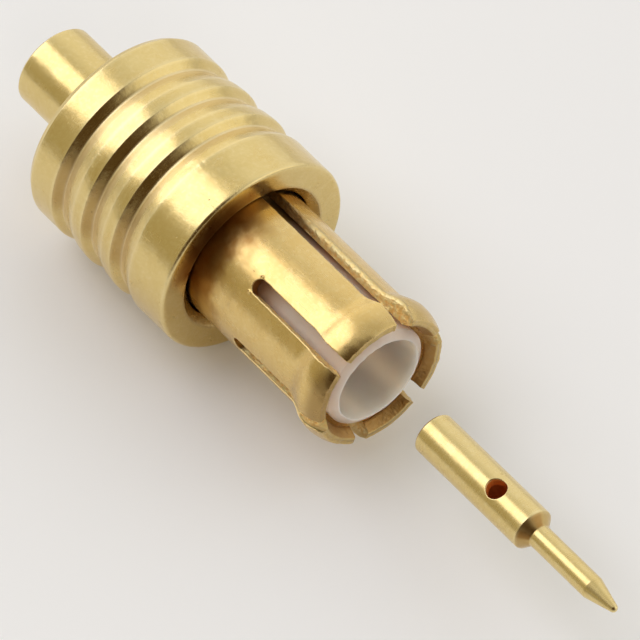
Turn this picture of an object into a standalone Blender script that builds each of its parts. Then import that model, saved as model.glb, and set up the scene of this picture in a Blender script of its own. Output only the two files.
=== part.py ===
# Straight MCX cable plug with its centre contact drawn out in front of it.
#
# Four turned or rolled pieces share one axis, which lies level along world +X:
#   body_shell      grooved outer body with the small cable tube at its rear
#   spring_collet   thin slotted sleeve that springs into the mating jack
#   insulator       white fluoropolymer core with a deep front cavity
#   centre_contact  solder cup with a thin pointed pin, free to slide home
#
# Units: the dimensions below are millimetres.  S is the distance along the
# axis, counted from the front edge of the grooved body towards the mating end.

import math

import bmesh
import bpy
from mathutils import Matrix

MM = 0.001

# ---------------------------------------------------------------- dimensions
ROUND = 64                   # sides of every turned piece
MERGE = 1.0e-7               # metres; the features are far finer than 0.1 mm

# grooved body
BODY_R = 2.55
FACE_S = 0.09                # flat front face
FACE_EDGE = 0.085            # rounding of the front rim
LAND_END_S = -4.61           # where the rear edge break begins
REAR_S = -4.74               # flat rear face
REAR_EDGE_R = 2.47
GROOVE_FRONT_EDGES = (-1.797, -2.834, -3.877)   # rear wall of each groove
GROOVE_W = 0.705
GROOVE_DEPTH = 0.20
GROOVE_WALL = 0.19           # axial run of each sloping groove wall
RIB_DROP = 0.025             # the ribs fall away slightly to the rear

# cable tube
TUBE_R = 1.031
TUBE_END_S = -7.09
TUBE_CHAMFER = 0.06
TUBE_BORE_R = 0.65

# seat for the collet and insulator
MOUTH_R = 1.925              # countersink in the front face
NECK_R = 1.757
NECK_S = -0.08
SEAT_START_S = -1.30
SEAT_R = 1.69
SEAT_END_S = -2.20

# spring collet
COLLET_R = 1.6725
COLLET_BORE_R = 1.418
COLLET_REAR_S = -2.15
BEAD_R = 1.854
BEAD_START_S = 3.45
BEAD_TOP_S = 4.12
BEAD_END_S = 4.373
BEAD_END_R = 1.8355
TIP_S = 4.639
TIP_R = 1.725
TIP_INNER_S = 4.545
SLOT_W = 0.39
SLOT_END_S = 1.51
SEAM_W = 0.50
SLOT_ANGLES = (219.6, 99.6, 39.6, -20.4, -80.4)   # degrees about the axis
SEAM_ANGLE = 156.9

# insulator
INSUL_R = 1.31
INSUL_FLANGE_R = 1.395
INSUL_FLANGE_S = -0.30
INSUL_REAR_S = -2.17
INSUL_FRONT_S = 4.553
INSUL_CHAMFER_S = 4.427
CAVITY_R = 1.099
CAVITY_FLOOR_S = 1.35
GUIDE_R = 0.54               # hole that the solder cup slides in
STOP_S = -2.00               # shoulder that stops the contact
CORE_HOLE_R = 0.32

# centre contact, drawn out
CONTACT_REAR_S = 6.44
CUP_R = 0.518
SHOULDER_S = 9.91
SHOULDER_RUN = 0.21
PIN_R = 0.28
TAPER_S = 11.96
CONTACT_TIP_S = 12.77
POINT_R = 0.10
SOLDER_BORE_R = 0.25
SOLDER_BORE_DEPTH = 2.72
CROSS_HOLE_R = 0.245
CROSS_HOLE_S = CONTACT_REAR_S + 2.38
CROSS_HOLE_ANGLE = 196.3

# placing: the middle of the whole length is the origin, the lowest facet
# of the body lies on the ground
MID_S = 0.5 * (TUBE_END_S + CONTACT_TIP_S)
AXIS_HEIGHT = BODY_R * math.cos(math.pi / ROUND)
HALF_FACET = math.pi / ROUND


# ------------------------------------------------------------------ helpers
def clear_scene():
    for obj in list(bpy.data.objects):
        bpy.data.objects.remove(obj, do_unlink=True)
    for col in list(bpy.data.collections):
        bpy.data.collections.remove(col)


def make_collection(name):
    col = bpy.data.collections.new(name)
    bpy.context.scene.collection.children.link(col)
    return col


def make_material(name, colour, metallic, roughness):
    mat = bpy.data.materials.new(name)
    mat.use_nodes = True
    bsdf = mat.node_tree.nodes["Principled BSDF"]
    bsdf.inputs["Base Color"].default_value = (*colour, 1.0)
    bsdf.inputs["Metallic"].default_value = metallic
    bsdf.inputs["Roughness"].default_value = roughness
    mat.diffuse_color = (*colour, 1.0)
    mat.metallic = metallic
    mat.roughness = roughness
    return mat


def rounded(corners, steps=3):
    """Turn (s, r, radius) corners into (r, s) points with arcs at corners."""
    count = len(corners)
    points = []
    for i, (s, r, radius) in enumerate(corners):
        if radius <= 0.0:
            points.append((r, s))
            continue
        ps, pr = corners[i - 1][:2]
        ns, nr = corners[(i + 1) % count][:2]
        us, ur = ps - s, pr - r
        ws, wr = ns - s, nr - r
        lu, lw = math.hypot(us, ur), math.hypot(ws, wr)
        us, ur, ws, wr = us / lu, ur / lu, ws / lw, wr / lw
        half = 0.5 * math.acos(max(-1.0, min(1.0, us * ws + ur * wr)))
        reach = radius / math.tan(half)
        limit = 0.45 * min(lu, lw)
        if reach > limit:
            radius *= limit / reach
            reach = limit
        bs, br = us + ws, ur + wr
        lb = math.hypot(bs, br)
        cs = s + bs / lb * radius / math.sin(half)
        cr = r + br / lb * radius / math.sin(half)
        a0 = math.atan2(r + ur * reach - cr, s + us * reach - cs)
        a1 = math.atan2(r + wr * reach - cr, s + ws * reach - cs)
        turn = (a1 - a0 + math.pi) % (2.0 * math.pi) - math.pi
        for k in range(steps + 1):
            a = a0 + turn * k / steps
            points.append((cr + radius * math.sin(a), cs + radius * math.cos(a)))
    return points


def turned(name, points, closed, collection):
    """Profile in the XZ plane, swept round the local Z axis."""
    mesh = bpy.data.meshes.new(name)
    verts = [(r * MM, 0.0, (s - MID_S) * MM) for r, s in points]
    edges = [(i, i + 1) for i in range(len(verts) - 1)]
    if closed:
        edges.append((len(verts) - 1, 0))
    mesh.from_pydata(verts, edges, [])
    obj = bpy.data.objects.new(name, mesh)
    collection.objects.link(obj)
    screw = obj.modifiers.new("turn", "SCREW")
    screw.axis = "Z"
    screw.angle = 2.0 * math.pi
    screw.screw_offset = 0.0
    screw.steps = ROUND
    screw.render_steps = ROUND
    screw.use_merge_vertices = True
    screw.merge_threshold = MERGE
    screw.use_smooth_shade = True
    return obj


def cutter_object(name, bm, collection):
    mesh = bpy.data.meshes.new(name)
    bm.to_mesh(mesh)
    bm.free()
    obj = bpy.data.objects.new(name, mesh)
    obj.hide_render = True
    obj.display_type = "WIRE"
    collection.objects.link(obj)
    return obj


def radial_slot(name, width, end_s, front_s, r_from, r_to, angle, collection):
    """Round-ended slot: a radial cylinder whose front half is drawn out."""
    bm = bmesh.new()
    bmesh.ops.create_cone(
        bm, cap_ends=True, segments=20,
        radius1=0.5 * width * MM / math.cos(math.pi / 20),
        radius2=0.5 * width * MM / math.cos(math.pi / 20),
        depth=(r_to - r_from) * MM,
        matrix=Matrix.Rotation(math.radians(90.0), 4, "Y")
        @ Matrix.Rotation(math.pi / 20, 4, "Z"))
    length = (front_s - end_s - 0.5 * width) * MM
    for v in bm.verts:
        v.co.x += 0.5 * (r_from + r_to) * MM
        if v.co.z > 0.0:
            v.co.z += length
        v.co.z += (end_s + 0.5 * width - MID_S) * MM
    bm.transform(Matrix.Rotation(math.radians(angle), 4, "Z"))
    return cutter_object(name, bm, collection)


def radial_box(name, width, s_from, s_to, r_from, r_to, angle, collection):
    bm = bmesh.new()
    bmesh.ops.create_cube(bm, size=1.0)
    for v in bm.verts:
        v.co.x = ((r_to - r_from) * v.co.x + 0.5 * (r_from + r_to)) * MM
        v.co.y = width * v.co.y * MM
        v.co.z = ((s_to - s_from) * v.co.z + 0.5 * (s_from + s_to) - MID_S) * MM
    bm.transform(Matrix.Rotation(math.radians(angle), 4, "Z"))
    return cutter_object(name, bm, collection)


def radial_drill(name, radius, s, r_from, r_to, angle, collection):
    bm = bmesh.new()
    bmesh.ops.create_cone(
        bm, cap_ends=True, segments=32, radius1=radius * MM,
        radius2=radius * MM, depth=(r_to - r_from) * MM,
        matrix=Matrix.Rotation(math.radians(90.0), 4, "Y"))
    for v in bm.verts:
        v.co.x += 0.5 * (r_from + r_to) * MM
        v.co.z += (s - MID_S) * MM
    bm.transform(Matrix.Rotation(math.radians(angle), 4, "Z"))
    return cutter_object(name, bm, collection)


def cut(obj, cutter):
    mod = obj.modifiers.new("cut_" + cutter.name, "BOOLEAN")
    mod.operation = "DIFFERENCE"
    mod.solver = "EXACT"
    mod.object = cutter


def finish(obj, material):
    """Fix the modifiers into the mesh, shade it, give it its material."""
    bpy.context.view_layer.update()
    graph = bpy.context.evaluated_depsgraph_get()
    mesh = bpy.data.meshes.new_from_object(obj.evaluated_get(graph))
    obj.modifiers.clear()
    old = obj.data
    obj.data = mesh
    bpy.data.meshes.remove(old)
    mesh.name = obj.name
    mesh.materials.clear()
    mesh.materials.append(material)
    mesh.shade_smooth()
    mesh.set_sharp_from_angle(angle=math.radians(28.0))


# ------------------------------------------------------------------- pieces
def shell_profile():
    p = [(FACE_S, BODY_R, FACE_EDGE)]
    land = BODY_R
    for rear_wall in GROOVE_FRONT_EDGES:
        front = rear_wall + GROOVE_W
        floor = BODY_R - GROOVE_DEPTH
        p.append((front, land, 0.035))
        p.append((front - GROOVE_WALL, floor, 0.025))
        p.append((rear_wall + GROOVE_WALL, floor, 0.025))
        p.append((rear_wall, BODY_R, 0.035))
        p.append((rear_wall - 0.10, BODY_R, 0.0))
        land = BODY_R - RIB_DROP
    p += [
        (LAND_END_S, BODY_R, 0.02),
        (REAR_S, REAR_EDGE_R, 0.02),
        (REAR_S, TUBE_R, 0.05),
        (TUBE_END_S + TUBE_CHAMFER, TUBE_R, 0.02),
        (TUBE_END_S, TUBE_R - TUBE_CHAMFER, 0.02),
        (TUBE_END_S, TUBE_BORE_R + 0.05, 0.0),
        (TUBE_END_S + 0.05, TUBE_BORE_R, 0.0),
        (SEAT_END_S, TUBE_BORE_R, 0.0),
        (SEAT_END_S, SEAT_R, 0.0),
        (SEAT_START_S, SEAT_R, 0.0),
        (SEAT_START_S + 0.06, NECK_R, 0.0),
        (NECK_S, NECK_R, 0.02),
        (FACE_S, MOUTH_R, 0.02),
    ]
    return rounded(p)


def collet_profile():
    ramp = []
    for k in range(11):
        t = 1.0 - k / 10.0
        s = BEAD_START_S + t * (BEAD_TOP_S - BEAD_START_S)
        r = COLLET_R + (BEAD_R - COLLET_R) * 0.5 * (1.0 - math.cos(math.pi * t))
        ramp.append((s, r, 0.0))
    p = [
        (TIP_INNER_S, COLLET_BORE_R, 0.02),
        (TIP_S, TIP_R - 0.13, 0.05),
        (TIP_S, TIP_R, 0.03),
        (BEAD_END_S, BEAD_END_R, 0.06),
        (0.5 * (BEAD_END_S + BEAD_TOP_S), 0.6 * BEAD_R + 0.4 * BEAD_END_R, 0.0),
    ]
    p += ramp
    p += [
        (COLLET_REAR_S, COLLET_R, 0.04),
        (COLLET_REAR_S, COLLET_BORE_R, 0.03),
    ]
    return rounded(p)


def insulator_profile():
    return rounded([
        (INSUL_FRONT_S, CAVITY_R, 0.015),
        (INSUL_FRONT_S, CAVITY_R + 0.06, 0.03),
        (INSUL_CHAMFER_S, INSUL_R, 0.06),
        (INSUL_FLANGE_S + 0.05, INSUL_R, 0.0),
        (INSUL_FLANGE_S, INSUL_FLANGE_R, 0.02),
        (INSUL_REAR_S, INSUL_FLANGE_R, 0.04),
        (INSUL_REAR_S, CORE_HOLE_R, 0.0),
        (STOP_S, CORE_HOLE_R, 0.0),
        (STOP_S, GUIDE_R, 0.0),
        (CAVITY_FLOOR_S, GUIDE_R, 0.03),
        (CAVITY_FLOOR_S, CAVITY_R, 0.08),
    ])


def contact_profile():
    points = []
    nose = CONTACT_TIP_S - POINT_R
    slope = math.atan2(PIN_R - POINT_R, nose - TAPER_S)
    for k in range(6):
        a = 0.5 * math.pi - (0.5 * math.pi - slope) * k / 5.0
        points.append((POINT_R * math.cos(a), nose + POINT_R * math.sin(a)))
    points[0] = (0.0, CONTACT_TIP_S)
    body = rounded([
        (nose, POINT_R, 0.0),
        (TAPER_S, PIN_R, 0.35),
        (SHOULDER_S + SHOULDER_RUN, PIN_R, 0.06),
        (SHOULDER_S, CUP_R, 0.06),
        (CONTACT_REAR_S + 0.04, CUP_R, 0.02),
        (CONTACT_REAR_S, CUP_R - 0.04, 0.0),
        (CONTACT_REAR_S, SOLDER_BORE_R + 0.03, 0.0),
        (CONTACT_REAR_S + 0.03, SOLDER_BORE_R, 0.0),
        (CONTACT_REAR_S + SOLDER_BORE_DEPTH, SOLDER_BORE_R, 0.0),
        (CONTACT_REAR_S + SOLDER_BORE_DEPTH + 0.12, 0.0, 0.0),
    ])
    points += body[1:-1]
    points.append((0.0, CONTACT_REAR_S + SOLDER_BORE_DEPTH + 0.12))
    return points


def build():
    clear_scene()
    parts = make_collection("mcx_plug")
    cutters = make_collection("mcx_plug_cutters")

    gold_body = make_material("gold_plate_body", (0.80, 0.62, 0.26), 1.0, 0.22)
    gold_spring = make_material("gold_plate_spring", (0.82, 0.60, 0.25), 1.0, 0.32)
    gold_pin = make_material("gold_plate_pin", (0.86, 0.66, 0.28), 1.0, 0.18)
    white = make_material("white_fluoropolymer", (0.78, 0.74, 0.72), 0.0, 0.45)

    axis = bpy.data.objects.new("plug_axis", None)
    axis.location = (0.0, 0.0, AXIS_HEIGHT * MM)
    axis.rotation_euler = (0.0, math.radians(90.0), 0.0)
    parts.objects.link(axis)

    shell = turned("body_shell", shell_profile(), True, parts)
    finish(shell, gold_body)

    collet = turned("spring_collet", collet_profile(), True, parts)
    for i, angle in enumerate(SLOT_ANGLES):
        cut(collet, radial_slot("slot_cutter_%d" % (i + 1), SLOT_W, SLOT_END_S,
                                TIP_S + 0.5, 1.0, 2.3, angle, cutters))
    cut(collet, radial_box("seam_cutter", SEAM_W, COLLET_REAR_S - 0.5,
                           TIP_S + 0.5, 1.0, 2.3, SEAM_ANGLE, cutters))
    finish(collet, gold_spring)

    insulator = turned("insulator", insulator_profile(), True, parts)
    finish(insulator, white)

    contact = turned("centre_contact", contact_profile(), False, parts)
    cut(contact, radial_drill("cross_hole_cutter", CROSS_HOLE_R, CROSS_HOLE_S,
                              0.02, 0.9, CROSS_HOLE_ANGLE, cutters))
    finish(contact, gold_pin)

    # the body is turned by half a facet, so a flat and not an edge lies down
    for obj in (shell, collet, insulator, contact):
        obj.parent = axis
    shell.rotation_euler = (0.0, 0.0, HALF_FACET)
    insulator.rotation_euler = (0.0, 0.0, HALF_FACET)
    bpy.context.view_layer.update()


build()
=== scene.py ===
import math

import bpy
import numpy as np
from mathutils import Matrix, Vector


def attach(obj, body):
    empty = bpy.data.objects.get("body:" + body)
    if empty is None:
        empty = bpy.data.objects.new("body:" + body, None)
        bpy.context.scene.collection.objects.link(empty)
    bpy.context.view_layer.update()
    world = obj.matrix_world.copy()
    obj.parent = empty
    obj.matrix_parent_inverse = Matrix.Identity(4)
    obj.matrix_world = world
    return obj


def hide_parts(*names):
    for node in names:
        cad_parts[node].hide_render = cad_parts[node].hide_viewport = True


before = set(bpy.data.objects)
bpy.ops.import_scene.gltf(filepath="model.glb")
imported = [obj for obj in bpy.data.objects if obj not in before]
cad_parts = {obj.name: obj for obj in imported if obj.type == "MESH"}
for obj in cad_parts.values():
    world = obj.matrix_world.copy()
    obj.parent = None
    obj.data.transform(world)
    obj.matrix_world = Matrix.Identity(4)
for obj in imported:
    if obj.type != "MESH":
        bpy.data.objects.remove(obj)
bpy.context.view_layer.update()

# ------------------------------------------------------------------ geometry
# Millimetres.  s runs along the plug's axis from the front edge of the grooved
# body, positive towards the mating end; r is the distance from the axis; phi
# is the angle about it, 0 on the side that faces the camera and positive
# towards the upper right of the picture.
MM = 0.001
MID_S = 2.84
AXIS_H = 2.55 * math.cos(math.pi / 64)
TURN = math.radians(26.9)

BODY_R = 2.55
FACE_S = 0.09
LAND_END_S = -4.61
REAR_S = -4.74
REAR_EDGE_R = 2.47
GROOVES = (-1.797, -2.834, -3.877)
GROOVE_W = 0.705
GROOVE_DEPTH = 0.20
GROOVE_WALL = 0.19
RIB_DROP = 0.025
TUBE_R = 1.031
TUBE_END_S = -7.09
TUBE_BORE_R = 0.65
MOUTH_R = 1.925
NECK_R = 1.728
NECK_S = -0.08
SEAT_START_S = -1.30
SEAT_R = 1.69
SEAT_END_S = -2.20

COLLET_R = 1.6725
COLLET_BORE_R = 1.418
COLLET_REAR_S = -2.15
BEAD_R = 1.854
BEAD_START_S = 3.45
BEAD_TOP_S = 4.12
TIP_S = 4.639
TIP_R = 1.725
TIP_INNER_S = 4.545
SLOT_W = 0.39
SLOT_END_S = 1.51
SEAM_W = 0.50
SEAM_PHI = 50.0
SLOT_PHI = (107.3, 167.3, 227.3, 287.3, 347.3)      # the last faces the camera

INSUL_R = 1.31
INSUL_FLANGE_R = 1.395
INSUL_FLANGE_S = -0.30
INSUL_REAR_S = -2.17
INSUL_FRONT_S = 4.553
INSUL_CHAMFER_S = 4.427
CAVITY_R = 1.099
CAVITY_FLOOR_S = 1.35
GUIDE_R = 0.54
STOP_S = -2.00
CORE_HOLE_R = 0.32

CUP_S = 6.44
CUP_R = 0.518
SHOULDER_S = 9.91
SHOULDER_RUN = 0.21
PIN_R = 0.28
TAPER_S = 11.96
TIP_END_S = 12.77
POINT_R = 0.10
SOLDER_R = 0.25
SOLDER_DEPTH = 2.72
CROSS_R = 0.245
CROSS_S = CUP_S + 2.38
CROSS_PHI = math.radians(10.6)


def place(s, r, phi):
    th = phi - TURN
    return np.stack([s - MID_S, r * np.sin(th), AXIS_H + r * np.cos(th)], -1) * MM


def place_xy(s, side, height, phi0):
    """A point given by its height along the radius at phi0 and its offset."""
    th = phi0 - TURN
    y = height * math.sin(th) + side * math.cos(th)
    z = height * math.cos(th) - side * math.sin(th)
    return np.stack([s - MID_S, y, AXIS_H + z], -1) * MM


def rounded(corners, steps=5, closed=True):
    """(s, r, radius) corners to a list of (s, r) points, corners as arcs."""
    n, out = len(corners), []
    for i, (s, r, rad) in enumerate(corners):
        if rad <= 0.0 or (not closed and i in (0, n - 1)):
            out.append((s, r))
            continue
        ps, pr = corners[i - 1][:2]
        ns, nr = corners[(i + 1) % n][:2]
        us, ur, ws, wr = ps - s, pr - r, ns - s, nr - r
        lu, lw = math.hypot(us, ur), math.hypot(ws, wr)
        us, ur, ws, wr = us / lu, ur / lu, ws / lw, wr / lw
        half = 0.5 * math.acos(max(-1.0, min(1.0, us * ws + ur * wr)))
        if half > 1.54:
            out.append((s, r))
            continue
        reach = rad / math.tan(half)
        limit = 0.45 * min(lu, lw)
        if reach > limit:
            rad *= limit / reach
            reach = limit
        bs, br = us + ws, ur + wr
        lb = math.hypot(bs, br)
        cs = s + bs / lb * rad / math.sin(half)
        cr = r + br / lb * rad / math.sin(half)
        a0 = math.atan2(r + ur * reach - cr, s + us * reach - cs)
        a1 = math.atan2(r + wr * reach - cr, s + ws * reach - cs)
        turn = (a1 - a0 + math.pi) % (2.0 * math.pi) - math.pi
        for k in range(steps + 1):
            a = a0 + turn * k / steps
            out.append((cs + rad * math.cos(a), cr + rad * math.sin(a)))
    return out


def densify(points, step, closed=True):
    """Adds points so that no stretch is longer than step(s, r)."""
    out = []
    n = len(points)
    for i in range(n if closed else n - 1):
        a, b = points[i], points[(i + 1) % n]
        h = step(0.5 * (a[0] + b[0]), 0.5 * (a[1] + b[1])) if callable(step) else step
        k = max(1, math.ceil(math.hypot(b[0] - a[0], b[1] - a[1]) / h))
        for j in range(k):
            out.append((a[0] + (b[0] - a[0]) * j / k, a[1] + (b[1] - a[1]) * j / k))
    if not closed:
        out.append(points[-1])
    return out


# ------------------------------------------------------------ smooth noise
def ease(t):
    return t * t * t * (t * (6.0 * t - 15.0) + 10.0)


def noise2(u, v, cells_u, cells_v, seed):
    """Smooth noise from -1 to 1; u and v in 0..1, u wraps round."""
    rng = np.random.default_rng(seed)
    table = rng.uniform(-1.0, 1.0, (cells_u, cells_v + 2))
    x = (u % 1.0) * cells_u
    y = np.clip(v, 0.0, 1.0) * cells_v
    i, j = np.floor(x).astype(int) % cells_u, np.floor(y).astype(int)
    j = np.minimum(j, cells_v)
    fx, fy = ease(x - np.floor(x)), ease(y - np.floor(y))
    i2 = (i + 1) % cells_u
    return ((table[i, j] * (1 - fx) + table[i2, j] * fx) * (1 - fy)
            + (table[i, j + 1] * (1 - fx) + table[i2, j + 1] * fx) * fy)


def layered(u, v, cu, cv, seed, octaves=3, gain=0.5):
    total, amp = 0.0, 1.0
    for k in range(octaves):
        total = total + amp * noise2(u, v, cu * 2 ** k, max(1, cv * 2 ** k), seed + k)
        amp *= gain
    return total


# ------------------------------------------------------------ mesh building
class Build:
    def __init__(self):
        self.co, self.quads, self.tris, self.att = [], [], [], {}
        self.n = 0

    def verts(self, co, **att):
        co = np.asarray(co, float).reshape(-1, 3)
        start = self.n
        self.co.append(co)
        for k in ("edge", "cut", "stain", "deep", "pale", "dull"):
            a = np.broadcast_to(np.asarray(att.get(k, 0.0), float).reshape(-1), (len(co),)) \
                if np.ndim(att.get(k, 0.0)) == 0 or np.size(att.get(k, 0.0)) == 1 \
                else np.asarray(att[k], float).reshape(-1)
            self.att.setdefault(k, []).append(a)
        self.n += len(co)
        return np.arange(start, self.n)

    def quad(self, a, b, c, d):
        q = np.stack([np.ravel(x) for x in (a, b, c, d)], -1)
        self.quads.append(q)

    def grid(self, idx, wrap_rows=False, wrap_cols=False, keep=None):
        """Quads over a table of vertex numbers."""
        down = np.roll(idx, -1, 0)
        right = np.roll(idx, -1, 1)
        diag = np.roll(down, -1, 1)
        rows = idx.shape[0] if wrap_rows else idx.shape[0] - 1
        cols = idx.shape[1] if wrap_cols else idx.shape[1] - 1
        sel = np.ones((rows, cols), bool) if keep is None else keep[:rows, :cols]
        cut = lambda m: m[:rows, :cols][sel]
        self.quad(cut(idx), cut(right), cut(diag), cut(down))

    def fan(self, centre, loop):
        loop = np.asarray(loop)
        nxt = np.roll(loop, -1)
        self.tris.append(np.stack([np.full(len(loop), centre), loop, nxt], -1))

    def zipper(self, loop_a, ang_a, loop_b, ang_b):
        """Triangles between two rings with different numbers of points."""
        i = j = 0
        na, nb = len(loop_a), len(loop_b)
        out = []
        while i < na or j < nb:
            ta = ang_a[i + 1] if i + 1 < na else ang_a[0] + 2 * math.pi
            tb = ang_b[j + 1] if j + 1 < nb else ang_b[0] + 2 * math.pi
            if j >= nb or (i < na and ta <= tb):
                out.append((loop_a[i % na], loop_a[(i + 1) % na], loop_b[j % nb]))
                i += 1
            else:
                out.append((loop_a[i % na], loop_b[(j + 1) % nb], loop_b[j % nb]))
                j += 1
        self.tris.append(np.array(out))

    def finish(self, name, material):
        co = np.concatenate(self.co)
        quads = np.concatenate(self.quads) if self.quads else np.zeros((0, 4), int)
        tris = np.concatenate(self.tris) if self.tris else np.zeros((0, 3), int)
        used = np.zeros(len(co), bool)
        used[quads.ravel()] = True
        used[tris.ravel()] = True
        renum = np.cumsum(used) - 1
        co = co[used]
        quads, tris = renum[quads], renum[tris]
        # signed volume tells whether the faces look out
        alltri = np.concatenate([quads[:, [0, 1, 2]], quads[:, [0, 2, 3]], tris])
        p = co[alltri] - co.mean(0)
        vol = np.einsum("ij,ij->i", p[:, 0], np.cross(p[:, 1], p[:, 2])).sum() / 6.0
        if vol < 0:
            quads, tris = quads[:, ::-1], tris[:, ::-1]
        mesh = bpy.data.meshes.new(name)
        loops = np.concatenate([quads.ravel(), tris.ravel()]).astype(np.int32)
        sizes = np.concatenate([np.full(len(quads), 4), np.full(len(tris), 3)])
        starts = np.concatenate([[0], np.cumsum(sizes)[:-1]]).astype(np.int32)
        mesh.vertices.add(len(co))
        mesh.vertices.foreach_set("co", co.astype(np.float32).ravel())
        mesh.loops.add(len(loops))
        mesh.loops.foreach_set("vertex_index", loops)
        mesh.polygons.add(len(sizes))
        mesh.polygons.foreach_set("loop_start", starts)
        mesh.update(calc_edges=True)
        mesh.validate()
        for k, parts in self.att.items():
            a = np.concatenate(parts)[used].astype(np.float32)
            mesh.attributes.new(k, "FLOAT", "POINT").data.foreach_set("value", a)
        mesh.materials.append(material)
        mesh.shade_smooth()
        obj = bpy.data.objects.new(name, mesh)
        bpy.context.scene.collection.objects.link(obj)
        print("piece", name, "triangles", 2 * len(quads) + len(tris),
              "volume mm3 %.3f" % (abs(vol) * 1e9))
        return obj


# ----------------------------------------------------------------- materials
class Graph:
    def __init__(self, tree):
        self.t = tree
        self.x = 0

    def node(self, kind, **props):
        n = self.t.nodes.new(kind)
        n.location = (self.x, 0)
        self.x += 180
        for k, v in props.items():
            setattr(n, k, v)
        return n

    def link(self, a, b):
        self.t.links.new(a, b)

    def set(self, sock, value):
        if isinstance(value, bpy.types.NodeSocket):
            self.link(value, sock)
        else:
            sock.default_value = value

    def math(self, op, a, b=0.0, c=None, clamp=False):
        n = self.node("ShaderNodeMath", operation=op, use_clamp=clamp)
        self.set(n.inputs[0], a)
        self.set(n.inputs[1], b)
        if c is not None:
            self.set(n.inputs[2], c)
        return n.outputs[0]

    def vmath(self, op, a, b=None, scale=None):
        n = self.node("ShaderNodeVectorMath", operation=op)
        self.set(n.inputs[0], a)
        if b is not None:
            self.set(n.inputs[1], b)
        if scale is not None:
            self.set(n.inputs["Scale"], scale)
        return n.outputs["Value"] if op in ("DOT_PRODUCT", "LENGTH", "DISTANCE") else n.outputs[0]

    def noise(self, vec, scale, detail=2.0, rough=0.5, dist=0.0):
        n = self.node("ShaderNodeTexNoise")
        self.set(n.inputs["Vector"], vec)
        n.inputs["Scale"].default_value = scale
        n.inputs["Detail"].default_value = detail
        n.inputs["Roughness"].default_value = rough
        n.inputs["Distortion"].default_value = dist
        return n.outputs["Fac"]

    def ramp(self, x, lo, hi, a=0.0, b=1.0, smooth=True):
        n = self.node("ShaderNodeMapRange",
                      interpolation_type="SMOOTHSTEP" if smooth else "LINEAR")
        self.set(n.inputs["Value"], x)
        for k, v in (("From Min", lo), ("From Max", hi), ("To Min", a), ("To Max", b)):
            self.set(n.inputs[k], v)
        return n.outputs["Result"]

    def mix(self, fac, a, b):
        n = self.node("ShaderNodeMix", data_type="RGBA")
        n.clamp_factor = True
        self.set(n.inputs[0], fac)
        self.set(n.inputs[6], a)
        self.set(n.inputs[7], b)
        return n.outputs[2]

    def stretch(self, vec, scale, turn=(0.0, 0.0, 0.0)):
        n = self.node("ShaderNodeMapping", vector_type="POINT")
        self.link(vec, n.inputs["Vector"])
        n.inputs["Scale"].default_value = scale
        n.inputs["Rotation"].default_value = turn
        return n.outputs["Vector"]

    def attribute(self, name):
        n = self.node("ShaderNodeAttribute", attribute_name=name)
        return n.outputs["Fac"]

    def spots(self, vec, scale, radius, share):
        """Small round spots in a share of the cells."""
        n = self.node("ShaderNodeTexVoronoi", feature="F1")
        self.link(vec, n.inputs["Vector"])
        n.inputs["Scale"].default_value = scale
        near = self.ramp(n.outputs["Distance"], radius, radius * 0.35)
        sep = self.node("ShaderNodeSeparateColor")
        self.link(n.outputs["Color"], sep.inputs[0])
        keep = self.math("LESS_THAN", sep.outputs[0], share)
        return self.math("MULTIPLY", near, keep)

    def bump(self, height, distance, normal=None, strength=1.0):
        n = self.node("ShaderNodeBump")
        n.inputs["Strength"].default_value = strength
        n.inputs["Distance"].default_value = distance
        self.link(height, n.inputs["Height"])
        if normal is not None:
            self.link(normal, n.inputs["Normal"])
        return n.outputs["Normal"]


def new_material(name, colour, metallic, rough):
    mat = bpy.data.materials.new(name)
    mat.use_nodes = True
    bsdf = mat.node_tree.nodes["Principled BSDF"]
    bsdf.inputs["Base Color"].default_value = (*colour, 1.0)
    bsdf.inputs["Metallic"].default_value = metallic
    bsdf.inputs["Roughness"].default_value = rough
    mat.diffuse_color = (*colour, 1.0)
    return mat, bsdf, Graph(mat.node_tree)


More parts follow.
